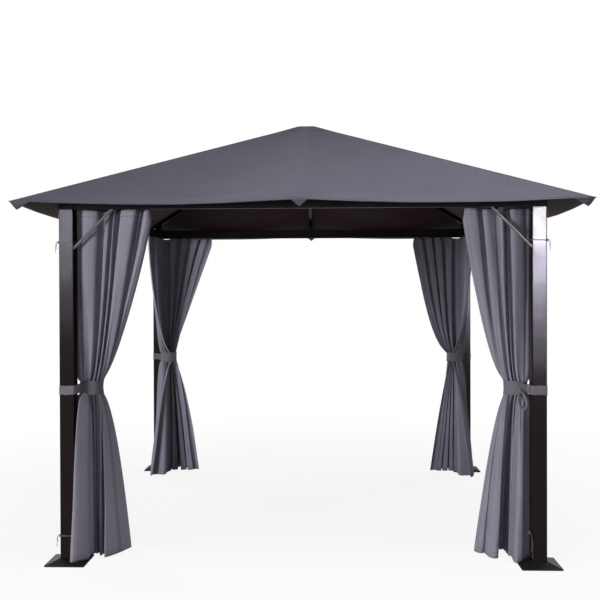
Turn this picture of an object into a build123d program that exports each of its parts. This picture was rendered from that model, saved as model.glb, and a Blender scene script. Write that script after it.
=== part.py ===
from build123d import *
import os
from math import atan, cos, degrees, hypot, sqrt

os.makedirs("parts", exist_ok=True)

# Metal garden gazebo, 3 m by 3 m over the roof tips. Millimetres, +Z up, front side at -Y.
# The origin is on the ground, under the middle of the roof.

# Plan and heights
post_pitch = 2524.0  # between post centre lines, the same on both sides
roof_overhang = 199.0  # from the outer faces of the posts to the eave
eave_height = 1934.0
roof_rise = 646.0  # from the eave to the top
fit_gap = 0.3  # between pieces that seat on each other

# Posts and feet
post_width = 78.0
post_wall = 2.0
post_edge_radius = 5.0
post_end_plate = 3.0  # closes the tube at the ground
post_top_inset = 7.0  # post top below the top of its bracket

foot_width = 214.0
foot_lip_height = 7.0
foot_lip_step = 4.0  # ledge between the lip and the sloped cover
foot_height = 27.0
foot_collar = 5.0  # ring left around the post at the top of the cover

# Ring of eave beams on the posts
beam_drop = 28.0  # underside of the beams below the eave
beam_height = 70.0
beam_width = 30.0
beam_wall = 2.0
bracket_wall = 3.0

# Roof
apex_half = 45.0  # half of the small flat at the top
canopy_thickness = 3.0
seam_gap = 0.2  # between the sewn panels
rafter_width = 25.0
rafter_height = 26.0
rafter_wall = 1.5
hub_across_flats = 92.0
hub_height = 52.0
hub_chamfer = 4.0
saddle_wall = 3.0
saddle_length = 46.0
saddle_ear = 10.0  # ears beside the rafter, above its underside

# Corner pockets and side flaps of the canopy
pocket_length = 112.0  # along each eave from the tip
pocket_inset = 32.0
pocket_drop = 44.0
flap_width = 92.0
flap_drop = 38.0
flap_rafter_inset = 14.0  # side rafter ends this far inside the eave
hip_rafter_inset = 44.0  # hip rafter ends this far inside the tip

# Braces
brace_diameter = 16.0
brace_wall = 1.5
brace_reach = 207.0  # from the post face along the beam, and the same down the post

# Curtain rails and curtains
rail_diameter = 8.0
rail_rise = 10.0  # rail axis above the underside of the beams
curtain_inset = 8.0  # cloth stays this far from the post faces
curtain_ground_gap = 12.0
curtain_reach_top = 470.0  # free edge at the rail, inward from the post centre line
curtain_reach_bottom = 338.0
curtain_front_top = 6.0  # outer face beyond the post centre line
curtain_front_bottom = 30.0
curtain_depth_top = 36.0
curtain_depth_bottom = 114.0
curtain_elbow_top = 95.0  # inner corner, where the two legs meet
curtain_elbow_bottom = 140.0
curtain_levels = (1.0, 0.7, 0.45, 0.22, 0.08, 0.0)  # from an open end to the tie
hang_curve = 0.75  # the free edge bulges less above the tie
flare_curve = 0.55  # and more below it
tie_height = 938.0
tie_band = 48.0
tie_thickness = 3.0
bunch_radius = 60.0
bunch_offset = 100.0  # middle of the tied bunch, inward from the post centre line on both sides

# Worked out from the sizes above
post_place = post_pitch / 2
frame_half = post_place + post_width / 2  # outer faces of posts and beams
roof_half = frame_half + roof_overhang
apex_height = eave_height + roof_rise
beam_bottom = eave_height - beam_drop
beam_place = frame_half - beam_width / 2
beam_top = beam_bottom + beam_height
slope = (apex_height - eave_height) / (roof_half - apex_half)  # rise of the roof per mm inward
cloth_drop = canopy_thickness * hypot(1.0, slope)  # canopy thickness measured straight down
bracket_half = post_width / 2 + fit_gap + bracket_wall
span_half = post_place - bracket_half  # beams and rails end at the brackets
rail_height = beam_bottom + rail_rise
hub_top = apex_height - cloth_drop - fit_gap

sides = {"front": -90.0, "right": 0.0, "back": 90.0, "left": 180.0}
side_ends = {  # the two corners of each side, the first one at +Y where the side is drawn at +X
    "front": ("right", "left"),
    "right": ("back", "front"),
    "back": ("left", "right"),
    "left": ("front", "back"),
}
corners = {"front_left": (-1, -1), "front_right": (1, -1), "back_left": (-1, 1), "back_right": (1, 1)}


def square_prism(width, bottom, top, edge_radius=0.0):
    outline = RectangleRounded(width, width, edge_radius) if edge_radius else Rectangle(width, width)
    return Pos(0, 0, bottom) * extrude(outline, amount=top - bottom)


def frustum(half_bottom, bottom, half_top, top):
    lean = degrees(atan((half_bottom - half_top) / (top - bottom)))
    base = Rectangle(2 * half_bottom, 2 * half_bottom)
    return Pos(0, 0, bottom) * extrude(base, amount=top - bottom, taper=lean)


def to_side(solid, side):
    """A piece drawn on the +X side, turned to one of the four sides."""
    return Rot(0, 0, sides[side]) * solid


def to_corner(solid, corner):
    """A piece drawn at the +X +Y corner, mirrored to one of the four corners."""
    east, north = corners[corner]
    if east < 0:
        solid = mirror(solid, about=Plane.YZ)
    if north < 0:
        solid = mirror(solid, about=Plane.XZ)
    return solid


def make_post():
    top = beam_top - post_top_inset
    tube = square_prism(post_width, 0, top, post_edge_radius)
    bore = square_prism(post_width - 2 * post_wall, post_end_plate, top, post_edge_radius - post_wall)
    return Pos(post_place, post_place, 0) * (tube - bore)


def make_foot():
    collar_half = post_width / 2 + foot_collar
    lip = square_prism(foot_width, 0, foot_lip_height, post_edge_radius)
    cover = frustum(foot_width / 2 - foot_lip_step, foot_lip_height, collar_half, foot_height)
    hole = square_prism(post_width + 2 * fit_gap, 0, foot_height, post_edge_radius + fit_gap)
    return Pos(post_place, post_place, 0) * (lip + cover - hole)


def roof_underside(inward):
    """Height of the canopy's inner face over a point this far from the middle, along a side."""
    return apex_height - cloth_drop - slope * (inward - apex_half)


def make_rafter(turn, run_scale, edge_drop, outer_inset, grow=0.0, open_top=0.0):
    """Square tube from the hub to the eave; grow and open_top make the clearance body of a saddle."""
    reach = (roof_half - outer_inset) * run_scale
    fall = slope / run_scale
    top_at_middle = roof_underside(0.0) - fit_gap - edge_drop
    pitch = atan(fall)
    height = rafter_height + grow + open_top
    drop = (rafter_height / 2 - open_top / 2 + grow / 2) / cos(pitch)
    middle = Vector(0, 0, top_at_middle - drop)
    outer = Vector(reach, 0, top_at_middle - drop - fall * reach)
    section = Plane(origin=outer, x_dir=(0, 1, 0), z_dir=middle - outer)
    outline = section * Rectangle(rafter_width + 2 * grow, height)
    length = (middle - outer).length
    tube = extrude(outline, amount=length)
    if not grow:
        hollow = section * Rectangle(rafter_width - 2 * rafter_wall, rafter_height - 2 * rafter_wall)
        tube -= extrude(hollow, amount=length)
    return Rot(0, 0, turn) * tube


def side_rafter(grow=0.0, open_top=0.0):
    return make_rafter(0.0, 1.0, 0.0, flap_rafter_inset, grow, open_top)


def hip_rafter(grow=0.0, open_top=0.0):
    edge_drop = slope / sqrt(2) * rafter_width / 2
    return make_rafter(45.0, sqrt(2), edge_drop, hip_rafter_inset, grow, open_top)


def hub_prism(bottom, top):
    ring = RegularPolygon(hub_across_flats / 2, 8, major_radius=False, rotation=22.5)
    return Pos(0, 0, bottom) * extrude(ring, amount=top - bottom)


def make_hub():
    body = hub_prism(hub_top - hub_height, hub_top)
    return chamfer(body.edges().group_by(Axis.Z)[-1], hub_chamfer)


def trimmed_to_hub(rafter):
    """A rafter cut flush with the flat side of the hub and kept under the flat of the roof."""
    above = Pos(0, 0, hub_top) * Box(roof_half, roof_half, roof_half, align=(Align.CENTER, Align.CENTER, Align.MIN))
    return rafter - hub_prism(beam_top, apex_height + hub_height) - above


def make_beam():
    outline = Rectangle(beam_width, beam_height) - Rectangle(
        beam_width - 2 * beam_wall, beam_height - 2 * beam_wall
    )
    tube = extrude(Plane.XZ * outline, amount=2 * span_half)
    tube = Pos(beam_place, span_half, beam_bottom + beam_height / 2) * tube
    saddle_top = roof_underside(frame_half) - rafter_height + saddle_ear
    ear_width = rafter_width + 2 * fit_gap + 2 * saddle_wall
    block = Pos(beam_place, 0, beam_top) * Box(
        beam_width, ear_width, saddle_top - beam_top, align=(Align.CENTER, Align.CENTER, Align.MIN)
    )
    return tube + (block - side_rafter(fit_gap, 2 * saddle_ear))


def make_bracket():
    """Sleeve over the post top, with a saddle for the hip rafter."""
    lid_top = beam_top + bracket_wall
    sleeve = square_prism(2 * bracket_half, beam_bottom, lid_top, post_edge_radius + bracket_wall)
    sleeve -= square_prism(post_width + 2 * fit_gap, beam_bottom, beam_top, post_edge_radius + fit_gap)
    sleeve = Pos(post_place, post_place, 0) * sleeve
    ear_width = rafter_width + 2 * fit_gap + 2 * saddle_wall
    saddle_top = roof_underside(post_place) - rafter_height + saddle_ear
    block = Rot(0, 0, 45) * Box(
        saddle_length, ear_width, saddle_top - lid_top, align=(Align.CENTER, Align.CENTER, Align.MIN)
    )
    block = Pos(post_place, post_place, lid_top) * block
    return sleeve + (block - hip_rafter(fit_gap, 2 * saddle_ear))


def make_brace():
    """Diagonal tube under the beam on the +X side, by the +Y post, cut flush at both ends."""
    face = post_place - post_width / 2
    middle = Vector(beam_place, face - brace_reach / 2, beam_bottom - brace_reach / 2)
    axis = Vector(0, -1, 1)
    run = Plane(origin=middle, x_dir=(1, 0, 0), z_dir=axis)
    ring = Circle(brace_diameter / 2) - Circle(brace_diameter / 2 - brace_wall)
    tube = extrude(run * ring, amount=brace_reach, both=True)
    corner_box = Box(2 * beam_width, 2 * brace_reach, 2 * brace_reach, align=(Align.CENTER, Align.MAX, Align.MAX))
    return tube & (Pos(beam_place, face, beam_bottom) * corner_box)


def make_rail():
    bar = extrude(Plane.XZ * Circle(rail_diameter / 2), amount=2 * span_half)
    return Pos(post_place, span_half, rail_height) * bar


def thin_triangle(points, inward):
    face = Face(Wire.make_polygon(points))
    return Solid.extrude(face, Vector(*inward) * canopy_thickness)


def make_canopy_panels():
    """Low pyramid of cloth: four slopes sewn along the hips, and the small flat over the hub."""
    skin = frustum(roof_half, eave_height, apex_half, apex_height)
    skin -= Pos(0, 0, -cloth_drop) * frustum(roof_half, eave_height, apex_half, apex_height)
    inner = apex_half + seam_gap / 2
    lap = 2 * roof_half
    outline = Polyline(
        (inner, inner - seam_gap), (lap, lap - seam_gap), (lap, seam_gap - lap), (inner, seam_gap - inner), close=True
    )
    wedge = Pos(0, 0, beam_top - lap) * extrude(make_face(outline), amount=2 * lap)
    slope_panel = skin & wedge
    flat = skin & square_prism(2 * apex_half - seam_gap, beam_top, apex_height)
    return [flat] + [to_side(slope_panel, side) for side in sides]


def make_pocket():
    """Folded end of the canopy that takes the end of a hip rafter."""
    tip = Vector(roof_half, roof_half, eave_height - seam_gap)
    low = tip + Vector(-pocket_inset, -pocket_inset, -pocket_drop)
    along_x = tip + Vector(-pocket_length, 0, 0)
    along_y = tip + Vector(0, -pocket_length, 0)
    return thin_triangle([tip, along_x, low], (0, -1, 0)) + thin_triangle([tip, along_y, low], (-1, 0, 0))


def make_flap():
    """Pointed flap under the end of a middle rafter."""
    edge = Vector(roof_half, 0, eave_height - seam_gap)
    half = Vector(0, flap_width / 2, 0)
    return thin_triangle([edge - half, edge + half, edge - Vector(0, 0, flap_drop)], (-1, 0, 0))


def make_canopy():
    pieces = make_canopy_panels()
    pieces += [to_corner(make_pocket(), corner) for corner in corners]
    pieces += [to_side(make_flap(), side) for side in sides]
    return Compound(children=[piece.solid() for piece in pieces])


def open_outline(reach, front, depth, elbow):
    """Both legs of an open curtain end, seen from above and measured inward from the post centre."""
    near = post_width / 2 + curtain_inset
    inner = depth - front
    return [
        (reach, -front),
        (near, -front),
        (near, near),
        (-front, near),
        (-front, reach),
        (inner, reach),
        (elbow, elbow),
        (reach, inner),
    ]


def bunch_outline():
    """The tied bunch: corners on a circle, in the same order as the open ends."""
    points = []
    for angle in (-30, -95, -135, -175, 120, 85, 45, 5):
        spoke = Vector(bunch_radius, 0).rotate(Axis.Z, angle)
        points.append((bunch_offset + spoke.X, bunch_offset + spoke.Y))
    return points


def faceted_solid(rings):
    """Closed solid through rings of points, with two flat triangles between each pair of neighbours."""
    faces = [Face(Wire.make_polygon(rings[0])), Face(Wire.make_polygon(rings[-1]))]
    for upper, lower in zip(rings, rings[1:]):
        count = len(upper)
        for i in range(count):
            j = (i + 1) % count
            faces.append(Face(Wire.make_polygon([upper[i], upper[j], lower[i]])))
            faces.append(Face(Wire.make_polygon([upper[j], lower[j], lower[i]])))
    return Solid(Shell(faces))


def curtain_ring(height, spread, open_end):
    """One level of the curtain, between the tied bunch (spread 0) and an open end (spread 1)."""
    ring = []
    for (tied_u, tied_v), (open_u, open_v) in zip(bunch_outline(), open_end):
        u = tied_u + (open_u - tied_u) * spread
        v = tied_v + (open_v - tied_v) * spread
        ring.append(Vector(post_place - u, post_place - v, height))
    return ring


def make_curtain():
    """Cloth that hangs full at the rail, is gathered in the tie and spreads again below it."""
    top = rail_height - rail_diameter / 2 - fit_gap
    top_end = open_outline(curtain_reach_top, curtain_front_top, curtain_depth_top, curtain_elbow_top)
    low_end = open_outline(
        curtain_reach_bottom, curtain_front_bottom, curtain_depth_bottom, curtain_elbow_bottom
    )
    tied_top = tie_height + 0.6 * tie_band
    tied_bottom = tie_height - 0.6 * tie_band
    rings = []
    for share in curtain_levels:
        rings.append(curtain_ring(top + (tied_top - top) * (1 - share), share**hang_curve, top_end))
    for share in reversed(curtain_levels):
        height = tied_bottom + (curtain_ground_gap - tied_bottom) * share
        rings.append(curtain_ring(height, share**flare_curve, low_end))
    over_foot = square_prism(foot_width + 4 * fit_gap, 0, foot_height + 2 * fit_gap)
    return faceted_solid(rings) - Pos(post_place, post_place, 0) * over_foot


def make_tie():
    """Band round the post and the bunch."""
    post_outline = Rectangle(post_width + 2 * fit_gap, post_width + 2 * fit_gap)
    bunch = Pos(-bunch_offset, -bunch_offset) * Circle(bunch_radius + fit_gap)
    inside = make_hull(post_outline.edges() + bunch.edges())
    band = offset(inside, tie_thickness) - inside
    return Pos(post_place, post_place, tie_height - tie_band / 2) * extrude(band, amount=tie_band)


def save(name, solid):
    solid.label = name
    export_step(solid, f"parts/{name}.step")


corner_pieces = {
    "post": make_post(),
    "post_foot": make_foot(),
    "corner_bracket": make_bracket(),
    "hip_rafter": trimmed_to_hub(hip_rafter()),
    "curtain": make_curtain(),
    "tie_back": make_tie(),
}
side_pieces = {
    "eave_beam": make_beam(),
    "middle_rafter": trimmed_to_hub(side_rafter()),
    "curtain_rail": make_rail(),
}
brace = make_brace()

for piece, solid in corner_pieces.items():
    for corner in corners:
        save(f"{piece}_{corner}", to_corner(solid, corner))

for piece, solid in side_pieces.items():
    for side in sides:
        save(f"{piece}_{side}", to_side(solid, side))

for side in sides:
    for end, end_brace in zip(side_ends[side], (brace, mirror(brace, about=Plane.XZ))):
        save(f"brace_{side}_{end}", to_side(end_brace, side))

save("roof_hub", make_hub())
save("canopy", make_canopy())
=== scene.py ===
import math
import random
import bmesh
import bpy
from mathutils import Matrix, Vector, noise


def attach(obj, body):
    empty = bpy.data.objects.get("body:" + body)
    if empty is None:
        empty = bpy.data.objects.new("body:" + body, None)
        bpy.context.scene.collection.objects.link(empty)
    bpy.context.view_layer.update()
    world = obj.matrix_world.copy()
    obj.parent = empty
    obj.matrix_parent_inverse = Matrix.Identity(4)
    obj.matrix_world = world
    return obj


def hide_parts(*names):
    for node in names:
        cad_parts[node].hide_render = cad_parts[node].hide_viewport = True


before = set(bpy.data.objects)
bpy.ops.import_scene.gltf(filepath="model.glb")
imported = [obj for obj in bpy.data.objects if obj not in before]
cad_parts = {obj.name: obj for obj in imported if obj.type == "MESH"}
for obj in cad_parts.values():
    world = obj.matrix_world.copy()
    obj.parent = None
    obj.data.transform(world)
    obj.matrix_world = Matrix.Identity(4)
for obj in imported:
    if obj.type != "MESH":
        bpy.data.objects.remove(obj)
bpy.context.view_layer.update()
print("frame loaded:", len(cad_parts), "pieces")

# Metres, front side at -Y. The two signs of a corner are its side in x and in y.
corners = {"front_left": (-1, -1), "front_right": (1, -1), "back_left": (-1, 1), "back_right": (1, 1)}
postPlace = 1.262  # post centre line, which the curtain rails follow too
up = Vector((0, 0, 1))


# Numbers and places

def mix(a, b, share):
    return a + (b - a) * share


def clamp(value, low=0.0, high=1.0):
    return max(low, min(high, value))


def smoothStep(low, high, value):
    share = clamp((value - low) / (high - low))
    return share * share * (3 - 2 * share)


# Points of an arc in plan with both its ends, angles in degrees.
def arcPoints(x, y, radius, start, turn, steps):
    angles = [math.radians(start + turn * k / steps) for k in range(steps + 1)]
    return [Vector((x + radius * math.cos(angle), y + radius * math.sin(angle))) for angle in angles]


# Lengths along a line from its start, one for each point.
def runningLengths(line):
    lengths = [0.0]
    for a, b in zip(line, line[1:]):
        lengths.append(lengths[-1] + (b - a).length)
    return lengths


# A place measured from a corner's post centre line, with x and y towards the middle of the gazebo.
def inCorner(corner, x, y, z):
    east, north = corners[corner]
    return Vector((east * (postPlace - x), north * (postPlace - y), z))


def cornerName(start, corner):
    return start + "".join(word.capitalize() for word in corner.split("_"))


# Pieces

def makePiece(name, bm, materials, slotName=None):
    mesh = bpy.data.meshes.new(name)
    bm.to_mesh(mesh)
    bm.free()
    mesh.polygons.foreach_set("use_smooth", [True] * len(mesh.polygons))
    piece = bpy.data.objects.new(name, mesh)
    bpy.context.scene.collection.objects.link(piece)
    for material in materials:
        mesh.materials.append(material)
    if slotName:
        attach(piece, "root")
    return piece


def thicken(piece, thickness, offset=-1.0, innerMaterial=0):
    solidify = piece.modifiers.new("clothThickness", "SOLIDIFY")
    solidify.thickness = thickness
    solidify.offset = offset
    solidify.material_offset = innerMaterial


def mergeAndFaceOut(bm, gap=0.00001):
    bmesh.ops.remove_doubles(bm, verts=bm.verts, dist=gap)
    bmesh.ops.recalc_face_normals(bm, faces=bm.faces)


def newGrid(columns, rows):
    bm = bmesh.new()
    bmesh.ops.create_grid(bm, x_segments=columns, y_segments=rows, size=1.0)
    return bm


# The column and row of a vertex in a grid that hasn't been shaped yet.
def gridPlace(vert, columns, rows):
    return round((vert.co.x + 1) / 2 * columns), round((vert.co.y + 1) / 2 * rows)


# Nodes and colours

def hexColor(code):
    channels = [int(code[i:i + 2], 16) / 255 for i in (1, 3, 5)]
    linear = [c / 12.92 if c <= 0.04045 else ((c + 0.055) / 1.055) ** 2.4 for c in channels]
    return (*linear, 1.0)


# Settings are the node's own properties first, then sockets by name or number. Links name a socket and its
# source, where a node stands for its first output. Map Range reads from 1 to 2 and gives 3 to 4, and a Mix
# of colours has them at 6 and 7 and its result at 2.
def addNode(tree, kind, settings=None, links=None):
    node = tree.nodes.new(kind)
    for name, value in (settings or {}).items():
        if isinstance(name, str) and hasattr(node, name):
            setattr(node, name, value)
        else:
            node.inputs[name].default_value = value
    for name, source in (links or {}).items():
        output = source.outputs[0] if isinstance(source, bpy.types.Node) else source
        tree.links.new(output, node.inputs[name])
    return node


def newTree(name):
    material = bpy.data.materials.new(name)
    material.use_nodes = True
    material.node_tree.nodes.clear()
    return material, material.node_tree


# Cloth

cloths = {
    # colour, lighter colour of its patches, thread spacing in mm as drawn, bump height in mm
    "canopyOuter": ("#51505c", "#595763", 1.6, 0.20),
    # The lining is a dark brown coat, darkened further to near black as painted shade under the roof.
    "canopyInner": ("#2a1a1b", "#331f21", 1.6, 0.20),
    "curtain": ("#8a8796", "#93909f", 1.6, 0.25),
    "strap": ("#6c6971", "#76727a", 2.0, 0.35),
}


# Woven polyester with a matt finish: soft broad highlights, a faint sheen at grazing angles and a slight
# unevenness of the dye. The real threads are 0.4 mm apart, too fine to show, so the weave is drawn coarser.
def wovenPolyester(name, key, coordinates="Object"):
    colour, light, threadMm, bumpMm = cloths[key]
    material, tree = newTree(name)
    bands = 2 * math.pi / 20 / (threadMm / 1000)  # a wave texture's scale for this spacing
    place = addNode(tree, "ShaderNodeTexCoord").outputs["Object"]
    weavePlace = place
    if coordinates != "Object":
        weavePlace = addNode(tree, "ShaderNodeUVMap", {"uv_map": coordinates})
    cloud = addNode(tree, "ShaderNodeTexNoise", {"Scale": 3.2, "Detail": 4.0, "Roughness": 0.6},
                    {"Vector": place})
    cloudShare = addNode(tree, "ShaderNodeMapRange", {1: 0.35, 2: 0.68, 3: 0.0, 4: 1.0}, {0: cloud})
    dye = addNode(tree, "ShaderNodeMix", {"data_type": "RGBA", 6: hexColor(colour), 7: hexColor(light)},
                  {0: cloudShare})
    threads = [addNode(tree, "ShaderNodeTexWave",
                       {"bands_direction": axis, "Scale": bands, "Distortion": 0.6, "Detail": 1.0},
                       {"Vector": weavePlace}).outputs["Fac"] for axis in "XY"]
    weave = addNode(tree, "ShaderNodeMath", {"operation": "MULTIPLY"}, {0: threads[0], 1: threads[1]})
    slub = addNode(tree, "ShaderNodeTexNoise", {"Scale": 90.0, "Detail": 3.0}, {"Vector": place})
    relief = addNode(tree, "ShaderNodeMath", {"operation": "ADD"}, {0: weave, 1: slub})
    shade = addNode(tree, "ShaderNodeMapRange", {1: 0.2, 2: 1.6, 3: 0.95, 4: 1.03}, {0: relief})
    tint = addNode(tree, "ShaderNodeMix", {"data_type": "RGBA", "blend_type": "MULTIPLY", 0: 1.0},
                   {6: dye.outputs[2], 7: shade}).outputs[2]
    bump = addNode(tree, "ShaderNodeBump", {"Strength": 0.5, "Distance": bumpMm / 1000}, {"Height": relief})
    rough = addNode(tree, "ShaderNodeMapRange", {1: 0.3, 2: 0.7, 3: 0.78, 4: 0.92}, {0: cloud})
    shader = addNode(tree, "ShaderNodeBsdfPrincipled",
                     {"IOR": 1.5, "Specular IOR Level": 0.12, "Sheen Weight": 0.05, "Sheen Roughness": 0.5},
                     {"Base Color": tint, "Roughness": rough, "Normal": bump})
    addNode(tree, "ShaderNodeOutputMaterial", None, {"Surface": shader})
    return material, tree, shader, tint


# A mask of thin lines, each as (value that it follows, place, half width, half width with its soft edge).
def lineMask(tree, lines):
    mask = None
    for source, place, half, softHalf in lines:
        away = addNode(tree, "ShaderNodeMath", {"operation": "SUBTRACT", 1: place}, {0: source})
        size = addNode(tree, "ShaderNodeMath", {"operation": "ABSOLUTE"}, {0: away})
        line = addNode(tree, "ShaderNodeMapRange", {1: half, 2: softHalf, 3: 1.0, 4: 0.0}, {0: size})
        if mask is not None:
            line = addNode(tree, "ShaderNodeMath", {"operation": "MAXIMUM"}, {0: mask, 1: line})
        mask = line
    return mask


def darkenLines(tree, shader, colour, mask, tone):
    darker = addNode(tree, "ShaderNodeMix", {"data_type": "RGBA", "blend_type": "MULTIPLY",
                                             7: (tone, tone, tone, 1)}, {0: mask, 6: colour})
    tree.links.new(darker.outputs[2], shader.inputs["Base Color"])


stitches = {
    "lines": ((1, 0.042), (1, 1.872), (0, 0.022), (0, 1.598)),  # axis and place: hem, header, both edges
    "half": 0.0012, "softHalf": 0.0030, "tone": 0.74, "depth": 0.25,
}


# The curtains' cloth also has stitched hems, and the shallow creases of gathered cloth along its height.
def curtainMaterial():
    s = stitches
    material, tree, shader, tint = wovenPolyester("wovenPolyesterCurtain", "curtain", "cloth")
    place = addNode(tree, "ShaderNodeUVMap", {"uv_map": "cloth"})
    parts = addNode(tree, "ShaderNodeSeparateXYZ", None, {0: place})
    lines = [(parts.outputs[axis], along, s["half"], s["softHalf"]) for axis, along in s["lines"]]
    hems = lineMask(tree, lines)
    darkenLines(tree, shader, tint, hems, s["tone"])
    stretched = addNode(tree, "ShaderNodeVectorMath", {"operation": "MULTIPLY", 1: (26.0, 3.5, 1.0)},
                        {0: place})
    creases = addNode(tree, "ShaderNodeTexNoise", {"Scale": 1.0, "Detail": 3.0}, {"Vector": stretched})
    sewn = addNode(tree, "ShaderNodeMath", {"operation": "MULTIPLY", 1: -s["depth"]}, {0: hems})
    height = addNode(tree, "ShaderNodeMath", {"operation": "ADD"}, {0: creases, 1: sewn})
    weaveBump = shader.inputs["Normal"].links[0].from_node
    bump = addNode(tree, "ShaderNodeBump", {"Strength": 0.8, "Distance": 0.006},
                   {"Height": height, "Normal": weaveBump})
    tree.links.new(bump.outputs[0], shader.inputs["Normal"])
    return material


canopySeams = {
    # distance and half width; the rings are squares round the peak
    "besideHips": (0.018, 0.0025), "patchEdge": (0.146, 0.005), "patchStitch": (0.134, 0.002),
    # The peak tone and its reach paint shade: the cloth is made darker towards the peak.
    "hem": (1.476, 0.0022), "tone": 0.62, "peakShadeTone": 0.66, "peakShadeReach": (0.1, 1.35),
}


# The canopy's seams are drawn on its plan: those beside the hips by their distance, patch and hem as rings.
def canopyMaterial():
    s = canopySeams
    material, tree, shader, tint = wovenPolyester("wovenPolyesterCanopy", "canopyOuter")
    place = addNode(tree, "ShaderNodeTexCoord").outputs["Object"]
    parts = addNode(tree, "ShaderNodeSeparateXYZ", None, {0: place})
    east = addNode(tree, "ShaderNodeMath", {"operation": "ABSOLUTE"}, {0: parts.outputs[0]})
    north = addNode(tree, "ShaderNodeMath", {"operation": "ABSOLUTE"}, {0: parts.outputs[1]})
    ring = addNode(tree, "ShaderNodeMath", {"operation": "MAXIMUM"}, {0: east, 1: north})
    hip = addNode(tree, "ShaderNodeMath", {"operation": "SUBTRACT"}, {0: east, 1: north})
    hipGap = addNode(tree, "ShaderNodeMath", {"operation": "ABSOLUTE"}, {0: hip})
    followed = {"besideHips": hipGap, "patchEdge": ring, "patchStitch": ring, "hem": ring}
    seams = lineMask(tree, [(source, *s[key], s[key][1] * 2) for key, source in followed.items()])
    # Painted shade: the colour darkens towards the peak, standing in for the weaker light on the upper
    # slopes.
    deep = addNode(tree, "ShaderNodeMapRange", {1: s["peakShadeReach"][0], 2: s["peakShadeReach"][1],
                                                3: s["peakShadeTone"], 4: 1.0}, {0: ring})
    shade = addNode(tree, "ShaderNodeMix", {"data_type": "RGBA", "blend_type": "MULTIPLY", 0: 1.0},
                    {6: tint, 7: deep})
    darkenLines(tree, shader, shade.outputs[2], seams, s["tone"])
    return material


# Metal and plastic

metals = {
    # colour, warmer colour, roughness, specular level
    "frame": ("#140b0c", "#1d1011", 0.14, 0.11),
    # The brace's grey is a painted reflection: its real coat is the frame's dark brown, lightened to stand in
    # for its gloss.
    "brace": ("#555054", "#5f5a5e", 0.28, 0.70),
    "rail": ("#100d0e", "#151112", 0.62, 0.06),
    "bracket": ("#0f0d0e", "#151213", 0.55, 0.08),
}


# Powder-coated steel: an even coat with the faint orange peel of baked powder, a little duller and lighter
# in broad patches. It is glossy dark brown on posts and rafters and half matt elsewhere; the braces' grey is
# a painted reflection, lightened from that dark brown.
def powderCoat(name, key):
    colour, warm, roughness, specular = metals[key]
    material, tree = newTree(name)
    place = addNode(tree, "ShaderNodeTexCoord").outputs["Object"]
    patches = addNode(tree, "ShaderNodeTexNoise", {"Scale": 5.0, "Detail": 5.0, "Roughness": 0.65},
                      {"Vector": place})
    dye = addNode(tree, "ShaderNodeMix", {"data_type": "RGBA", 6: hexColor(colour), 7: hexColor(warm)},
                  {0: patches})
    peel = addNode(tree, "ShaderNodeTexNoise", {"Scale": 260.0, "Detail": 2.0}, {"Vector": place})
    bump = addNode(tree, "ShaderNodeBump", {"Strength": 0.12, "Distance": 0.0004}, {"Height": peel})
    rough = addNode(tree, "ShaderNodeMapRange", {1: 0.3, 2: 0.7, 3: roughness - 0.03, 4: roughness + 0.04},
                    {0: patches})
    shader = addNode(tree, "ShaderNodeBsdfPrincipled", {"IOR": 1.5, "Specular IOR Level": specular},
                     {"Base Color": dye.outputs[2], "Roughness": rough, "Normal": bump})
    addNode(tree, "ShaderNodeOutputMaterial", None, {"Surface": shader})
    return material


plastic = {"colour": "#131012", "dust": "#3a3635", "dustTop": 0.012, "roughness": 0.60, "specular": 0.10}


# Moulded polypropylene: black, half matt, with a fine spark-eroded grain and pale dust near the ground.
def mouldedPlastic(name):
    p = plastic
    material, tree = newTree(name)
    place = addNode(tree, "ShaderNodeTexCoord").outputs["Object"]
    grain = addNode(tree, "ShaderNodeTexNoise", {"Scale": 700.0, "Detail": 2.0}, {"Vector": place})
    dirt = addNode(tree, "ShaderNodeTexNoise", {"Scale": 22.0, "Detail": 6.0}, {"Vector": place})
    height = addNode(tree, "ShaderNodeSeparateXYZ", None, {0: place}).outputs[2]
    low = addNode(tree, "ShaderNodeMapRange", {1: 0.0, 2: p["dustTop"], 3: 0.55, 4: 0.05}, {0: height})
    dust = addNode(tree, "ShaderNodeMath", {"operation": "MULTIPLY"}, {0: low, 1: dirt})
    dye = addNode(tree, "ShaderNodeMix",
                  {"data_type": "RGBA", 6: hexColor(p["colour"]), 7: hexColor(p["dust"])}, {0: dust})
    bump = addNode(tree, "ShaderNodeBump", {"Strength": 0.25, "Distance": 0.0003}, {"Height": grain})
    shader = addNode(tree, "ShaderNodeBsdfPrincipled",
                     {"IOR": 1.49, "Roughness": p["roughness"], "Specular IOR Level": p["specular"]},
                     {"Base Color": dye.outputs[2], "Normal": bump})
    addNode(tree, "ShaderNodeOutputMaterial", None, {"Surface": shader})
    return material


powderCoatedFrame = powderCoat("powderCoatedSteelFrame", "frame")
# The brace coat's lighter colour is a painted reflection of its gloss.
powderCoatedBrace = powderCoat("powderCoatedSteelBrace", "brace")
powderCoatedRail = powderCoat("powderCoatedSteelRail", "rail")
powderCoatedBracket = powderCoat("powderCoatedSteelBracket", "bracket")
footPlastic = mouldedPlastic("mouldedPolypropyleneFoot")
curtainCloth = curtainMaterial()
strapCloth = wovenPolyester("wovenPolyesterStrap", "strap", "cloth")[0]
# The lining's near-black colour is partly its dark brown coat and partly painted shade.
canopyLiningPaintedShade = wovenPolyester("coatedPolyesterLiningPaintedShade", "canopyInner")[0]
canopyCloth = canopyMaterial()

# The posts, rafters, hub and all other nodes that aren't named here are glossy.
finishes = {"post_foot": footPlastic, "brace": powderCoatedBrace, "curtain_rail": powderCoatedRail,
            "corner_bracket": powderCoatedBracket, "eave_beam": powderCoatedBracket}
for name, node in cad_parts.items():
    chosen = [finish for start, finish in finishes.items() if name.startswith(start)] or [powderCoatedFrame]
    for slot in node.material_slots:
        slot.material = chosen[0]
print("materials ready")


# Canopy

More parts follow.
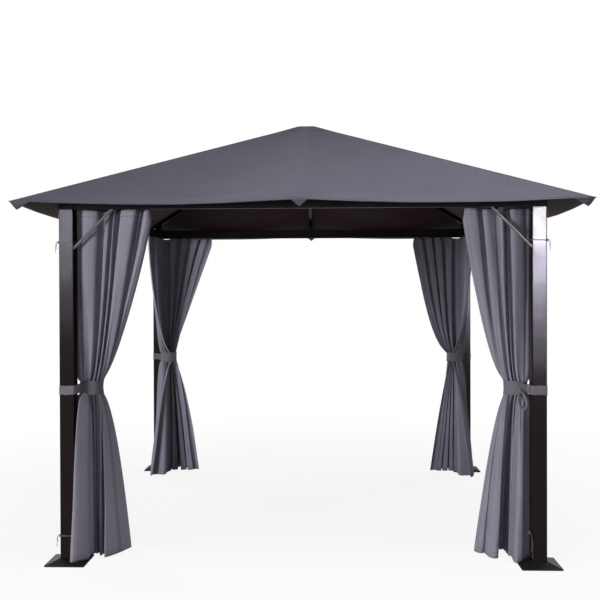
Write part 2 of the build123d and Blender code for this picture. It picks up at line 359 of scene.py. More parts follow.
canopy = {
    "half": 1.5, "eave": 1.934, "top": 2.5797, "flat": 0.045, "flatEdge": 0.004, "cloth": 0.0016,
    "tubeHalf": 0.0135, "beamLine": 1.301, "beamTop": 1.976,
    "sagAtBeam": 0.050, "sagAtEave": 0.023, "slopeSag": 0.007, "ridge": 0.006,
    "ripples": ((2.1, 0.3, 0.003), (6, 7.1, 0.0011)),  # scale, seed, height
    "rings": ((0.0, 0.06, 4), (0.06, 1.25, 44), (1.25, 1.32, 10), (1.32, 1.5, 10)),  # from, to, count
    "cells": 88, "crowding": 0.6,  # cells along a side, closer together at the hips and the middle
    "flatSize": (3.2, 3.2),
}


# Height of the cloth over a place in plan: a pyramid, soft over its hips, that sags between the rafters.
def canopyHeight(x, y):
    c = canopy
    wide, narrow = max(abs(x), abs(y)), min(abs(x), abs(y))
    run = (wide + narrow) / 2 + math.sqrt(((wide - narrow) / 2) ** 2 + c["ridge"] ** 2)
    run = min(run, wide + c["ridge"] * smoothStep(0.05, 0.2, wide))
    if run < 0.1:  # the flat at the peak has a soft edge
        run = max(run, c["flat"] + c["flatEdge"] * math.log1p(math.exp((run - c["flat"]) / c["flatEdge"])))
    slope = (c["top"] - c["eave"]) / (c["half"] - c["flat"])
    height = c["eave"] + slope * (c["half"] - run)

    free = wide - 2 * c["tubeHalf"] - 0.004  # between a middle rafter and a hip rafter
    share = clamp((narrow - c["tubeHalf"]) / free) if free > 0.02 else 0.0
    arch = 4 * share * (1 - share)
    fromTop = clamp((wide - c["flat"]) / (c["beamLine"] - c["flat"]))
    sag = c["sagAtBeam"] * fromTop + c["slopeSag"] * math.sin(math.pi * fromTop)
    if wide > c["beamLine"]:
        sag = mix(c["sagAtBeam"], c["sagAtEave"], (wide - c["beamLine"]) / (c["half"] - c["beamLine"]))
    height -= sag * arch

    lowest = c["beamTop"] + c["cloth"] + 0.0008
    onBeam = 1 - smoothStep(0.0, 0.03, abs(wide - c["beamLine"] + 0.015) - 0.016)
    if height < lowest:
        height = mix(height, lowest, onBeam)
    ripple = 0
    for scale, seed, rise in c["ripples"]:
        ripple += noise.noise(Vector((x * scale, y * scale, seed))) * rise
    return height + ripple * (arch * smoothStep(0.1, 0.4, wide))


def makeCanopy():
    c = canopy
    rings = [0.0]
    for start, end, count in c["rings"]:
        rings += [mix(start, end, (i + 1) / count) for i in range(count)]
    columns, rows = 4 * c["cells"], len(rings) - 1
    bm = newGrid(columns, rows)
    for vert in bm.verts:
        column, row = gridPlace(vert, columns, rows)
        wide = rings[row]
        side, step = divmod(column % columns, c["cells"])
        even = 2 * step / c["cells"] - 1
        along = wide * (even - c["crowding"] * math.sin(2 * math.pi * even) / (2 * math.pi))
        x, y = ((along, -wide), (wide, along), (-along, wide), (-wide, -along))[side]
        vert.co = (x, y, canopyHeight(x, y))
    mergeAndFaceOut(bm)
    if sum(face.normal.z for face in bm.faces) < 0:
        bmesh.ops.reverse_faces(bm, faces=bm.faces)
    piece = makePiece("canopySheet", bm, [canopyCloth, canopyLiningPaintedShade], "canopy_cloth")
    thicken(piece, c["cloth"], innerMaterial=1)
    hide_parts("canopy")


pockets = {
    "length": 0.112, "inset": 0.032, "drop": 0.044, "bulge": 0.006, "cells": 10,
    "flapWidth": 0.092, "flapDrop": 0.038, "flatSize": (0.32, 0.16), "flatArea": 0.03,
}


# A sewn triangle from two points of the eave to a lower point, filled out a little between its edges.
def addTriangle(bm, first, second, low, outward, bulge):
    cells = pockets["cells"]
    made = bmesh.ops.create_grid(bm, x_segments=cells, y_segments=cells, size=1.0)["verts"]
    for vert in made:
        across, down = (vert.co.x + 1) / 2, (vert.co.y + 1) / 2
        full = math.sin(math.pi * across) * math.sin(math.pi * down) * bulge
        vert.co = first.lerp(second, across).lerp(low, down) + outward * full
    return made


def makePockets():
    p = pockets
    half, eave = canopy["half"] - 0.0006, canopy["eave"] - 0.0005  # just inside the canopy's edge
    bm = bmesh.new()
    for east, north in corners.values():
        tip = Vector((east * half, north * half, eave))
        low = Vector((east * (half - p["inset"]), north * (half - p["inset"]), eave - p["drop"]))
        outward = Vector((east, north, -0.6)).normalized()
        for along in (Vector((east, 0, 0)), Vector((0, north, 0))):
            end = tip - along * p["length"]
            end.z = canopyHeight(end.x, end.y) - 0.001
            addTriangle(bm, tip, end, low, outward, p["bulge"])
    z = canopyHeight(0.04, half) - 0.0005
    ends = [Vector((side * p["flapWidth"] / 2, half, z)) for side in (-1, 1)]
    low = Vector((0, half - 0.004, z - p["flapDrop"] + 0.002))
    for side in range(4):
        made = addTriangle(bm, *ends, low, Vector((0, 1, 0)), 0.0)
        bmesh.ops.transform(bm, matrix=Matrix.Rotation(math.radians(90 * side), 4, "Z"), verts=made)
    mergeAndFaceOut(bm, 0.0002)
    piece = makePiece("canopyPocketsAndFlaps", bm, [canopyCloth, canopyLiningPaintedShade], "canopy_cloth")
    thicken(piece, canopy["cloth"], offset=0.0)
    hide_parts("canopy")


makeCanopy()
makePockets()
print("canopy made")


# Curtains

# Where a value has two numbers, the first is for the part that hangs from the rail down to the tie-back,
# and the second for the part below it, down to the hem.
curtain = {
    "top": 1.9075, "ground": 0.013, "tieLow": 0.906, "tieHigh": 0.970, "flatWidth": 1.62, "cloth": 0.0012,
    "rows": 84, "samples": 3, "fold": 0.0060, "lap": (0.050, 0.045), "parting": 0.010,
    "swell": (0.34, 0.22), "panelPoints": ((0.2, 0.72), (0.5, 1.0), (0.8, 0.72)),  # shares of width and swell
    "front": (-0.005, -0.029), "depth": (0.052, 0.145), "wander": 0.012, "sway": (0.22, 0.12),
    "scallop": 0.011, "edgeCurl": 0.020, "postGap": 0.047, "postFront": 0.055, "nearPost": 0.2,
    "bunchPlace": 0.100, "bunchOuter": 0.057, "bunchInner": 0.012, "bunchValley": 0.036,
    "bunchTurn": (40.0, -131.0), "nookRise": 0.045, "footHalf": 0.110, "footTop": 0.0262,
}

# A leg of a curtain runs from its free edge to the post, as flat panels with grooves between them. A panel
# is (outer end, inner end, depth at both), first as it hangs from the rail and then at the hem. The ends are
# shares of the leg's reach, where less than 0 is across the front of the post. Depth goes from 0 on the
# outer face to 1 on the inner one, and past them for a panel that stands out or lies far behind. A leg with
# a swing lets its folds below the tie-back swing out in front of the post as they fall.
legs = {
    "frontLeft": {"reach": (0.468, 0.340), "curve": (0.70, 0.57), "swing": True, "panels": (
        ((1.000, 0.845, 0.25, 0.05), (0.82, 0.44, 2.05, 0.25)),
        ((0.826, 0.814, 0.80, 0.80), (0.43, 0.42, 1.20, 1.20)),
        ((0.800, 0.550, 0.00, 0.02), (0.40, 0.32, 0.80, 0.75)),
        ((0.518, 0.466, 0.15, 0.30), (0.28, 0.275, 1.15, 1.15)),
        ((0.446, 0.360, 0.20, 0.10), (0.265, 0.255, 1.10, 1.05)),
        ((0.300, 0.025, 0.15, 0.12), (0.21, -0.089, -0.04, -0.73)),
        ((0.022, 0.000, 0.12, 0.10), (0.017, 0.00, -0.42, -0.03)))},
    "frontRight": {"reach": (0.404, 0.342), "curve": (0.58, 0.66), "swing": True, "panels": (
        ((1.000, 0.735, 0.40, 0.02), (0.89, 0.70, 1.74, 1.50)),
        ((0.700, 0.470, 0.55, 0.75), (0.69, 0.49, 0.80, 0.70)),
        ((0.450, 0.365, 0.00, 0.05), (0.43, 0.31, 2.30, 2.20)),
        ((0.330, 0.322, 0.85, 0.85), (0.30, 0.29, 1.60, 1.40)),
        ((0.290, 0.000, -0.20, 1.15), (0.29, 0.08, -0.03, 0.15)))},
    "backLeft": {"reach": (0.470, 0.345), "curve": (0.98, 0.60), "swing": False, "panels": (
        ((1.000, 0.820, 0.50, 0.95), (1.00, 0.80, 0.80, 0.95)),
        ((0.790, 0.640, 0.20, 0.10), (0.72, 0.60, 0.20, 0.15)),
        ((0.600, 0.430, 0.15, 0.00), (0.54, 0.36, 0.05, 0.00)),
        ((0.390, 0.210, 0.10, 0.15), (0.30, 0.18, 0.10, 0.15)),
        ((0.170, 0.000, 0.15, 0.20), (0.12, 0.00, 0.10, 0.30)))},
    "backRight": {"reach": (0.440, 0.300), "curve": (0.50, 0.85), "swing": False, "panels": (
        ((1.000, 0.860, 0.60, 0.90), (1.00, 0.74, 0.90, 0.95)),
        ((0.830, 0.660, 0.10, 0.05), (0.68, 0.56, 0.20, 0.10)),
        ((0.620, 0.480, 0.10, 0.20), (0.48, 0.36, 0.10, 0.10)),
        ((0.430, 0.250, 0.00, 0.10), (0.30, 0.16, 0.00, 0.10)),
        ((0.200, 0.000, 0.15, 0.20), (0.10, 0.00, 0.10, 0.30)))},
}

# Each corner's leg along the front or back, and its leg along the side: seed, reach, curve, outward billow.
cornerLegs = {
    "front_left": ("frontLeft", (11, (0.462, 0.335), (0.72, 0.60), (0.0, 0.0))),
    "front_right": ("frontRight", (23, (0.462, 0.335), (0.72, 0.60), (0.0, 0.0))),
    "back_left": ("backLeft", (31, (0.470, 0.350), (0.50, 0.60), (0.025, 0.006))),
    "back_right": ("backRight", (47, (0.470, 0.360), (0.55, 0.60), (0.020, 0.020))),
}


# A leg that the photograph hides, with six panels of seeded widths and depths.
def seededLeg(seed, reach, curve, billow):
    rng = random.Random(seed)
    count = 6
    inner = range(count - 1)
    cuts = [1.0, *sorted((rng.uniform(k + 0.25, k + 0.75) / count for k in inner), reverse=True), 0.0]
    hems = [1.0, *sorted((rng.uniform(k + 0.2, k + 0.8) / count for k in inner), reverse=True), 0.0]
    panels = []
    for k in range(count):
        gap, hemGap = rng.uniform(0.010, 0.028), rng.uniform(0.02, 0.05)
        panels.append(((cuts[k], cuts[k + 1] + gap, rng.uniform(0, 0.35), rng.uniform(0, 0.25)),
                       (hems[k], hems[k + 1] + hemGap, rng.uniform(0, 0.3), rng.uniform(0, 0.3))))
    return {"reach": reach, "curve": curve, "swing": False, "billow": billow, "panels": panels}


# One end of the cloth's folds, hanging (0) or at the hem (1), as (share of the reach, depth, kind). Each
# panel swells towards the outside, and the cloth between two panels folds back to the inner side. It lies
# flat instead where a layer is behind others or turns round the front of the post.
def foldShares(leg, end):
    lap, swell = curtain["lap"][end], curtain["swell"][end]
    points = []
    panels = [panel[end] for panel in leg["panels"]]
    for k, (outer, inner, outerDepth, innerDepth) in enumerate(panels):
        isBehind = k + 1 < len(panels) and min(innerDepth, panels[k + 1][2]) > 0.6
        turnsRoundPost = leg["panels"][k][1][3] < 0
        outerDepth, innerDepth = mix(swell, 1, outerDepth), mix(swell, 1, innerDepth)
        isWide = outer - inner > 0.14  # a wide panel dips in its middle where it is bunched
        if outer - inner > 0.05:
            outer, inner = outer - (k > 0) * curtain["parting"], inner + curtain["parting"]
        points.append((outer, outerDepth, "edge"))
        for share, fullness in curtain["panelPoints"]:
            kind = "middle" if fullness == 1 and isWide else "panel"
            depth = mix(outerDepth, innerDepth, share) - swell * fullness
            points.append((mix(outer, inner, share), depth, kind))
        points.append((inner, innerDepth, "edge"))
        if k + 1 < len(panels):
            nextOuter, nextInner, nextDepth = panels[k + 1][:3]
            nextDepth = mix(swell, 1, nextDepth)
            if isBehind or turnsRoundPost:
                points.append((inner, mix(innerDepth, nextDepth, 0.35), "groove"))
                points.append((nextOuter, mix(innerDepth, nextDepth, 0.65), "groove"))
            else:
                under = clamp(0.45 * (outer - inner), 0, lap)
                underNext = clamp(0.45 * (nextOuter - nextInner), 0, lap)
                points.append((inner + under, 0.92, "groove"))
                points.append((nextOuter - underNext, 1.0, "groove"))
    return points


# Where each point sits round the bunch, from 0 to 1: wide panels take more of it than narrow ones.
def bunchShares(leg):
    places = [place for place, _, _ in foldShares(leg, 0)]
    sums = [0.0]
    for a, b in zip(places, places[1:]):
        sums.append(sums[-1] + abs(b - a) + 0.014)
    return [value / sums[-1] for value in sums]


# Points of one leg at a height, each with whether it lies on a panel. Their x is inward along the rail from
# the post's centre line, and their y is inward from the rail's line.
def legPoints(leg, z, seed):
    c = curtain
    end = 0 if z >= (c["tieLow"] + c["tieHigh"]) / 2 else 1
    low, high = ((c["tieHigh"], c["top"]), (c["tieLow"], c["ground"]))[end]
    opened = clamp((z - low) / (high - low)) ** leg["curve"][end]
    reach = leg["reach"][end] - c["postGap"]
    billow = leg.get("billow", (0, 0))[end] * (opened if end else 4 * opened * (1 - opened))
    curl = c["edgeCurl"] * smoothStep(c["top"] - 0.07, c["top"], z)
    turns = bunchShares(leg)
    bunch = Vector((c["bunchPlace"], c["bunchPlace"]))
    points = []
    for i, (place, deep, kind) in enumerate(foldShares(leg, end)):
        wander = c["wander"] * min(opened, 4 * (1 - opened))
        wander *= noise.noise(Vector((seed + i * 0.5, z * 1.7, 0.5)))
        along = c["postGap"] + reach * place + wander - curl * max(0, place - 0.9) * 10
        if kind != "groove" and 0 <= deep <= 1:
            deep = clamp(deep + c["sway"][end] * noise.noise(Vector((seed + i * 0.45, z * 1.6, 3.1))))
        offset = c["front"][end] + c["depth"][end] * deep - billow * smoothStep(0.0, 0.6, place)
        if offset > -c["postFront"]:
            along = max(along, c["postGap"])
        angle = math.radians(mix(*c["bunchTurn"], turns[i]))
        radius = {"groove": c["bunchInner"], "middle": c["bunchValley"]}.get(kind, c["bunchOuter"])
        bunched = bunch + Vector((math.cos(angle), math.sin(angle))) * radius
        spread = opened ** mix(c["nearPost"], 1, smoothStep(-0.1, 0.6, place))  # at once near the post
        swing = opened if leg["swing"] and end else spread
        point = Vector((mix(bunched.x, along, swing), mix(bunched.y, offset, spread)))
        points.append((point, kind in ("panel", "middle")))
    return points


# The folds' corners turn on a small radius, and between them the panels are smooth curves.
def roundedLine(points, radius, samples):
    control = [points[0][0]]
    for (before, _), (here, smooth), (after, _) in zip(points, points[1:], points[2:]):
        if smooth:
            control.append(here)
            continue
        for other in (before, after):
            gap = (other - here).length
            control.append(here.lerp(other, min(0.42, radius / max(gap, 0.0001))))
    control.append(points[-1][0])
    line = []
    for i in range(1, len(control) - 1):
        start = control[0] if i == 1 else (control[i - 1] + control[i]) / 2
        end = control[-1] if i == len(control) - 2 else (control[i] + control[i + 1]) / 2
        for k in range(samples):
            t = k / samples
            line.append(start * (1 - t) ** 2 + control[i] * 2 * t * (1 - t) + end * t * t)
    line.append(control[-1])
    return line


# The whole cloth at a height: along one leg, through the nook beside the post, and out along the other leg.
def curtainLine(legA, legB, z, seed):
    c = curtain
    first = legPoints(legA, z, seed)
    second = [(point.yx, smooth) for point, smooth in reversed(legPoints(legB, z, seed + 40))]
    inner = Vector((1, 1)) * (c["bunchPlace"] - c["bunchOuter"] * math.sqrt(0.5))
    fromTie = max(z - c["tieHigh"], c["tieLow"] - z, 0)
    nook = inner.lerp(Vector((c["postGap"], c["postGap"])), smoothStep(-0.01, c["nookRise"], fromTie))
    return roundedLine([*first, (nook, False), *second], c["fold"], c["samples"])


# The hem rests on the cover of the post's foot and hangs clear of the ground beside it.
def hemHeight(x, y, z):
    c = curtain
    away = (max(abs(x), abs(y)) - c["postGap"]) / (c["footHalf"] - c["postGap"])
    return max(z, mix(c["footTop"], c["ground"], clamp(away)))


# The curtain hangs from rings where its top edge passes under the rail, each as (length along it, place).
def ringPlaces(line, lengths):
    found = []
    for i, (a, b) in enumerate(zip(line, line[1:])):
        if min(a.x, a.y) * min(b.x, b.y) < 0 and (not found or lengths[i] - found[-1][0] > 0.03):
            found.append((lengths[i], a))
    return found


ring = {"radius": 0.0067, "wire": 0.0012, "height": 1.9145, "around": 20, "section": 8}
ringMesh = bmesh.new()


def addRing(corner, place):
    r = ring
    others = set(ringMesh.verts)
    section = bmesh.ops.create_circle(ringMesh, segments=r["section"], radius=r["wire"])["verts"]
    standing = Matrix.Translation((r["radius"], 0, 0)) @ Matrix.Rotation(math.pi / 2, 4, "X")
    bmesh.ops.transform(ringMesh, matrix=standing, verts=section)
    edges = list({edge for vert in section for edge in vert.link_edges})
    bmesh.ops.spin(ringMesh, geom=section + edges, cent=(0, 0, 0), axis=(0, 0, 1), angle=2 * math.pi,
                   steps=r["around"], use_merge=True)
    onSide = place.y > place.x
    x, y = (0.0, place.y) if onSide else (place.x, 0.0)
    spot = Matrix.Translation(inCorner(corner, x, y, r["height"]))
    hung = spot @ Matrix.Rotation(math.pi / 2, 4, "X" if onSide else "Y")
    verts = [vert for vert in ringMesh.verts if vert not in others]
    bmesh.ops.transform(ringMesh, matrix=hung, verts=verts)


def makeCurtain(corner):
    c = curtain
    key, side = cornerLegs[corner]
    seed = 3.0 * list(corners).index(corner)
    heights = [mix(c["ground"], c["top"], row / c["rows"]) for row in range(c["rows"] + 1)]
    lines = [curtainLine(legs[key], seededLeg(*side), z, seed) for z in heights]
    lengths = runningLengths(lines[-1])
    rings = ringPlaces(lines[-1], lengths)
    for _, place in rings:
        addRing(corner, place)
    stops = [0.0, *(length for length, _ in rings), lengths[-1]]
    sags = []
    for length in lengths:  # the top edge sags a little between its rings
        k = sum(stop <= length for stop in stops[1:-1])
        wide = stops[k + 1] - stops[k]
        sags.append(math.sin(math.pi * clamp((length - stops[k]) / wide)) * min(1, wide / 0.1))

    columns, rows = len(lines[0]) - 1, c["rows"]
    bm = newGrid(columns, rows)
    uvLayer = bm.loops.layers.uv.new("cloth")
    places = {vert: gridPlace(vert, columns, rows) for vert in bm.verts}
    for face in bm.faces:
        for loop in face.loops:
            column, row = places[loop.vert]
            loop[uvLayer].uv = (lengths[column] / lengths[-1] * c["flatWidth"], heights[row])
    for vert, (column, row) in places.items():
        place = lines[row][column]
        z = hemHeight(place.x, place.y, heights[row])
        z -= c["scallop"] * sags[column] * smoothStep(c["top"] - 0.05, c["top"], heights[row])
        vert.co = inCorner(corner, place.x, place.y, z)
    bmesh.ops.smooth_vert(bm, verts=bm.verts, factor=0.2, use_axis_x=True, use_axis_y=True)
    east, north = corners[corner]
    if east * north < 0:  # a mirrored corner turns the faces round
        bmesh.ops.reverse_faces(bm, faces=bm.faces)
    piece = makePiece(cornerName("curtain", corner), bm, [curtainCloth], "curtain_cloth")
    thicken(piece, c["cloth"], offset=0.0)
    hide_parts("curtain_" + corner)


for corner in corners:
    makeCurtain(corner)
bmesh.ops.recalc_face_normals(ringMesh, faces=ringMesh.faces)
makePiece("curtainRings", ringMesh, [powderCoatedRail], "rail_metal")
print("curtains made")


# Tie-backs

tieBack = {
    "height": 0.938, "postHalf": 0.0405, "postCorner": 0.006, "bunchRadius": 0.0605, "bunchPlace": 0.100,
    "bunchArc": (-151, -298), "pinch": 0.047, "narrow": 0.0245, "wide": 0.038, "meanWidth": 0.066,
    "thickness": 0.0022, "ripple": 0.0035, "waist": 0.0025, "droop": 0.004, "cells": 220, "rows": 8,
}


# The strap's line from above: round the post, in beside its inner corner, and round the bunch.
def strapLine():
    t = tieBack
    half, r, pinch = t["postHalf"], t["postCorner"], t["pinch"]
    points = [Vector((pinch + 0.004, pinch - 0.004)), Vector((half, half - 0.006))]
    for x, y, start in ((1, -1, 0), (-1, -1, -90), (-1, 1, -180)):
        points += arcPoints(x * (half - r), y * (half - r), r, start, -90, 4)
    points += [Vector((half - 0.006, half)), Vector((pinch - 0.004, pinch + 0.004))]
    return points + arcPoints(t["bunchPlace"], t["bunchPlace"], t["bunchRadius"], *t["bunchArc"], 36)


# A closed line again, with its points at even steps, and its length.
def resample(points, count):
    loop = [*points, points[0]]
    lengths = runningLengths(loop)
    line, k = [], 0
    for i in range(count):
        goal = lengths[-1] * i / count
        while lengths[k + 1] < goal:
            k += 1
        line.append(loop[k].lerp(loop[k + 1], (goal - lengths[k]) / (lengths[k + 1] - lengths[k])))
    return line, lengths[-1]


def makeTieBack(corner):
    t = tieBack
    line, around = resample(strapLine(), t["cells"])
    bm = newGrid(t["cells"], t["rows"])
    uvLayer = bm.loops.layers.uv.new("cloth")
    for face in bm.faces:
        for loop in face.loops:
            loop[uvLayer].uv = ((loop.vert.co.x + 1) / 2 * around, loop.vert.co.y * t["wide"])
    seed = 5.0 * list(corners).index(corner)
    for vert in bm.verts:
        step = gridPlace(vert, t["cells"], t["rows"])[0] % t["cells"]
        level, place = vert.co.y, line[step]
        onBunch = smoothStep(0.052, 0.085, max(place.x, place.y))
        ripple = abs(noise.noise(Vector((seed, step * 0.16, level * 0.4))) * t["ripple"] * onBunch)
        waist = t["waist"] * (level * level) * onBunch  # the strap stands off a little at both its edges
        away = (place - Vector((t["bunchPlace"], t["bunchPlace"]))).normalized()
        place = place + away * (ripple + waist)
        droop = -t["droop"] * (1 - onBunch) + 0.003 * noise.noise(Vector((seed + 2, step * 0.09, 0)))
        z = t["height"] + level * mix(t["narrow"], t["wide"], onBunch) + droop
        vert.co = inCorner(corner, place.x, place.y, z)
    mergeAndFaceOut(bm)
    piece = makePiece(cornerName("tieBack", corner), bm, [strapCloth], "strap_cloth")
    thicken(piece, t["thickness"], offset=0.0)
    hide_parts("tie_back_" + corner)


for corner in corners:
    makeTieBack(corner)


# A ribbon along a line, with the direction of its width at each point, as a grid that is two faces wide.
def addRibbon(bm, line, across):
    count = len(line) - 1
    for vert in bmesh.ops.create_grid(bm, x_segments=count, y_segments=2, size=1.0)["verts"]:
        step = gridPlace(vert, count, 2)[0]
        vert.co = line[step] + across[step] * vert.co.y


# A knot: a small lumpy ball, flattened towards what it lies on. Its values are radius, height of the lumps,
# their scale, and how far it is flattened.
def addKnot(bm, centre, values, seed, outward):
    radius, lumps, lumpScale, flattened = values
    for vert in bmesh.ops.create_icosphere(bm, subdivisions=3, radius=radius)["verts"]:
        lumpy = vert.co * (1 + lumps * noise.noise(vert.co * lumpScale + up * seed))
        vert.co = centre + lumpy - outward * (lumpy.dot(outward) * flattened)


tape = {
    "heights": (1.730, 0.148), "half": 0.0024, "thickness": 0.0010, "postHalf": 0.0409, "postCorner": 0.007,
    "wave": 0.003, "knot": (0.0065, 0.25, 260, 0.25), "knotPlace": (0.0429, 0.028, 0.0),
    "tails": (0.058, 0.036), "tailSpread": 0.010, "tailBow": 0.011, "tailLift": 0.018, "tailSteps": 12,
    "hangingKnot": (-0.056, 0.046, 0.035), "hangingTails": (0.135, 0.105),  # low tape, front right
}


# Narrow tapes tie the curtain to its post near the top and the bottom, each with a knot on the outer side.
# The low tape of the front right one shows only its two tails, beside the curtain's edge.
def makeTapes(corner):
    east, north = corners[corner]
    t = tape
    bm = bmesh.new()
    seed = 9.0 * list(corners).index(corner)
    loop = []
    for x, y, start in ((1, 1, 0), (-1, 1, 90), (-1, -1, 180), (1, -1, 270)):
        reach = t["postHalf"] - t["postCorner"]
        loop += [p.to_3d() for p in arcPoints(x * reach, y * reach, t["postCorner"], start, 90, 5)]
    loop.append(loop[0])
    for height in t["heights"]:
        middle = inCorner(corner, 0, 0, height)
        knot, tails = t["knotPlace"], t["tails"]
        if corner == "front_right" and height < 1:
            knot, tails = t["hangingKnot"], t["hangingTails"]
        else:
            line = [middle + p + up * t["wave"] * noise.noise(p * 30 + up * (seed + height)) for p in loop]
            addRibbon(bm, line, [up * t["half"]] * len(line))
        knotPlace = middle + Vector((east * knot[0], north * knot[1], knot[2]))
        addKnot(bm, knotPlace, t["knot"], seed, Vector((1, 0, 0)))
        for k, long in enumerate(tails):
            tail = []
            for step in range(t["tailSteps"] + 1):
                share = step / t["tailSteps"]
                out = 0.004 + t["tailBow"] * math.sin(2.4 * share)
                lift = t["tailLift"] * math.sin(math.pi * min(1, share * 1.6)) * (1 - k)
                aside = t["tailSpread"] * (1 - 2 * k) * share
                tail.append(knotPlace + Vector((east * out, north * aside, lift - long * share)))
            addRibbon(bm, tail, [Vector((0, north * t["half"], 0))] * len(tail))
    mergeAndFaceOut(bm)
    piece = makePiece(cornerName("tieTapes", corner), bm, [strapCloth], "strap_cloth")
    thicken(piece, t["thickness"], offset=0.0)


tieLoop = {
    "half": 0.010, "wide": 0.024, "drop": 0.085, "lean": 0.050, "knot": (0.016, 0.3, 90, 0.45),
    "off": 0.009, "belowMiddle": 0.020, "steps": 32,
    # where it hangs round the bunch, in degrees from the direction along the rail
    "angles": {"front_left": 85, "front_right": -102, "back_left": -80, "back_right": -80},
}


# The ends of each tie-back are knotted in a small hanging loop. Only the front right one hangs in front.
def makeTieLoop(corner):
    t = tieLoop
    angle = t["angles"][corner]
    outward = Vector((math.cos(math.radians(angle)), math.sin(math.radians(angle)), 0))
    sideways = Vector((-outward.y, outward.x, 0))
    bunch = Vector((tieBack["bunchPlace"], tieBack["bunchPlace"], tieBack["height"] - t["belowMiddle"]))
    start = bunch + outward * (tieBack["bunchRadius"] + t["off"])
    line, across = [], []
    for step in range(t["steps"] + 1):
        turn = 2 * math.pi * step / t["steps"]
        swing = t["wide"] * math.sin(turn) * math.sin(turn / 2) ** 0.6
        lower = (1 - math.cos(turn)) / 2
        line.append(start + sideways * swing - up * (t["drop"] * lower) + outward * t["lean"] * lower)
        fromMiddle = (sideways * swing + up * (t["drop"] / 2 - t["drop"] * lower)).normalized()
        across.append((outward * 0.6 + fromMiddle * 0.8) * t["half"])
    bm = bmesh.new()
    addRibbon(bm, line, across)
    addKnot(bm, start - up * 0.004, t["knot"], angle, outward)
    for vert in bm.verts:
        vert.co = inCorner(corner, *vert.co)
    bmesh.ops.recalc_face_normals(bm, faces=bm.faces)
    piece = makePiece(cornerName("tieLoop", corner), bm, [strapCloth], "strap_cloth")
    thicken(piece, tieBack["thickness"], offset=0.0)


for corner in corners:
    makeTapes(corner)
    makeTieLoop(corner)
print("tie-backs made")


# Studio

# Lamps are (name, place, aim, width, height, power in watts, colour).
studio = {
    "view": {"place": (0.1535, -5.9774, 1.4512), "turn": 1.931, "down": 0.435, "roll": -0.18, "lens": 52.7},
    "lamps": (
        ("key", (-8.0, -9.0, 1.9), (-0.4, -0.8, 1.3), 3.0, 1.8, 900, "#ffffff"),
        ("fill", (0.4, -6.5, 0.8), (0.0, -1.0, 1.1), 3.0, 1.2, 26, "#ffffff"),
        ("roofLight", (1.1, -2.1, 4.6), (0.5, -1.2, 2.0), 1.4, 0.8, 100, "#ffffff"),
        ("overhead", (1.2, -1.0, 6.2), (0.0, 0.0, 2.2), 3.4, 3.4, 8, "#ffffff"),
        ("backRight", (8.0, 7.5, 3.8), (0.4, 0.8, 1.3), 3.0, 2.0, 480, "#ffffff"),
        ("backLeft", (-8.0, 7.5, 3.8), (-0.4, 0.8, 1.3), 3.0, 2.0, 480, "#ffffff"),
    ),
    # Strips that only the gloss of the posts shows, which is white near the top and runs down to black.
    "glossLamps": (
        ("postRightTop", (3.085, -9.0, 2.90), (1.234, -1.3, 1.6), 0.30, 1.2, 250, "#fbf8ff"),
        ("postRightHigh", (3.085, -9.0, 1.98), (1.234, -1.3, 1.6), 0.30, 0.6, 155, "#ede7ff"),
        ("postRightMiddle", (3.085, -9.0, 1.38), (1.234, -1.3, 1.6), 0.30, 0.6, 60, "#ede7ff"),
        ("postRightLow", (3.085, -9.0, 0.78), (1.234, -1.3, 1.6), 0.30, 0.6, 17, "#ede7ff"),
        ("postLeftTop", (-3.56, -9.0, 2.30), (-1.424, -1.3, 1.6), 0.30, 1.2, 62, "#ede9ff"),
        ("postLeftLow", (-3.56, -9.0, 1.35), (-1.424, -1.3, 1.6), 0.30, 0.7, 6, "#ede9ff"),
    ),
    "world": 0.035,
    "floor": {"colour": "#b4b3b1", "radius": 40, "nearShare": 0.88, "near": 1.4, "far": 4.5},
}


def addLamp(name, place, aim, width, height, power, colour):
    lamp = bpy.data.lights.new(name, "AREA")
    lamp.shape = "RECTANGLE"
    lamp.size = width
    lamp.size_y = height
    lamp.energy = power
    lamp.color = hexColor(colour)[:3]
    lampObject = bpy.data.objects.new(name, lamp)
    back = (Vector(place) - Vector(aim)).normalized()
    lampObject.matrix_world = Matrix.Translation(place) @ back.to_track_quat("Z", "Y").to_matrix().to_4x4()
    bpy.context.scene.collection.objects.link(lampObject)
    return lampObject


def makeCamera():
    view = studio["view"]
    cameraData = bpy.data.cameras.new("photoCamera")
    cameraData.lens = view["lens"]
    cameraData.sensor_width = 36.0
    camera = bpy.data.objects.new("photoCamera", cameraData)
    bpy.context.scene.collection.objects.link(camera)
    camera.matrix_world = (Matrix.Translation(view["place"])
                           @ Matrix.Rotation(math.radians(view["turn"]), 4, "Z")
                           @ Matrix.Rotation(math.radians(90 - view["down"]), 4, "X")
                           @ Matrix.Rotation(math.radians(view["roll"]), 4, "Z"))
    bpy.context.scene.camera = camera


# Two masks of the rays that meet a surface: those from the camera or through glass, and reflections as well.
def rayMasks(tree):
    path = addNode(tree, "ShaderNodeLightPath")
    direct = addNode(tree, "ShaderNodeMath", {"operation": "MAXIMUM"},
                     {0: path.outputs["Is Camera Ray"], 1: path.outputs["Is Transmission Ray"]})
    seen = addNode(tree, "ShaderNodeMath", {"operation": "MAXIMUM"},
                   {0: direct, 1: path.outputs["Is Glossy Ray"]})
    return direct, seen


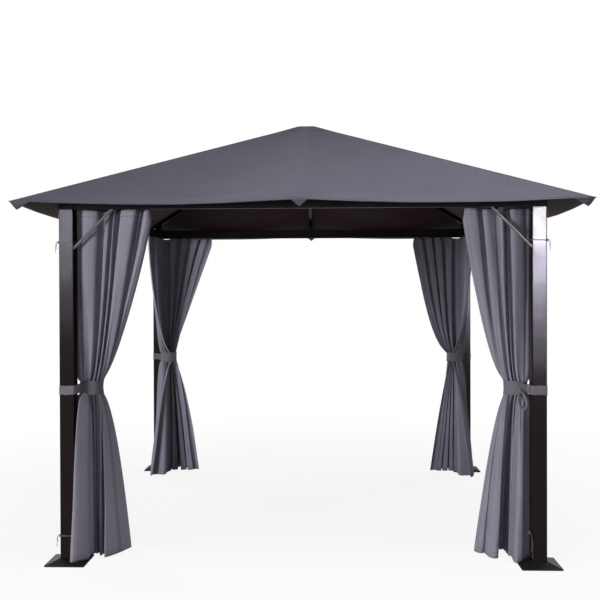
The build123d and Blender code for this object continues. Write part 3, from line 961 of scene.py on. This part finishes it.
# The world looks white, but gives the object only a little light.
def makeWorld():
    world = bpy.data.worlds.new("paleStudio")
    bpy.context.scene.world = world
    world.use_nodes = True
    tree = world.node_tree
    tree.nodes.clear()
    direct, seen = rayMasks(tree)
    strength = addNode(tree, "ShaderNodeMapRange", {1: 0.0, 2: 1.0, 3: studio["world"], 4: 1.0}, {0: seen})
    background = addNode(tree, "ShaderNodeBackground", {"Color": (1, 1, 1, 1)}, {"Strength": strength})
    addNode(tree, "ShaderNodeOutputWorld", None, {"Surface": background})


# Pale seamless floor: it shows as the white background, fully so far from the object, and keeps its shadow.
def makeFloor():
    f = studio["floor"]
    material, tree = newTree("paleStudioFloor")
    place = addNode(tree, "ShaderNodeTexCoord").outputs["Object"]
    length = addNode(tree, "ShaderNodeVectorMath", {"operation": "LENGTH"}, {0: place}).outputs["Value"]
    white = addNode(tree, "ShaderNodeMapRange", {1: f["near"], 2: f["far"], 3: f["nearShare"], 4: 1.0},
                    {0: length})
    direct, seen = rayMasks(tree)
    share = addNode(tree, "ShaderNodeMath", {"operation": "MULTIPLY"}, {0: white, 1: seen})
    shown = addNode(tree, "ShaderNodeMix",
                    {"data_type": "RGBA", 6: hexColor(f["colour"]), 7: (0.9, 0.9, 0.9, 1)}, {0: direct})
    matt = addNode(tree, "ShaderNodeBsdfDiffuse", None, {"Color": shown.outputs[2]})
    bright = addNode(tree, "ShaderNodeEmission", {"Color": (1, 1, 1, 1), "Strength": 1.0})
    mixed = addNode(tree, "ShaderNodeMixShader", None, {0: share, 1: matt, 2: bright})
    addNode(tree, "ShaderNodeOutputMaterial", None, {"Surface": mixed})
    bm = bmesh.new()
    bmesh.ops.create_circle(bm, cap_ends=True, segments=64, radius=f["radius"])
    floor = makePiece("studioFloor", bm, [material])


makeCamera()
for row in studio["lamps"]:
    lampObject = addLamp(*row)
    lampObject.visible_glossy = row[0] != "fill"  # the fill would show as a stripe in the posts
for row in studio["glossLamps"]:
    lampObject = addLamp(*row)
    lampObject.visible_diffuse = False
makeWorld()
makeFloor()
bpy.context.scene.view_settings.view_transform = "Standard"
print("studio ready")
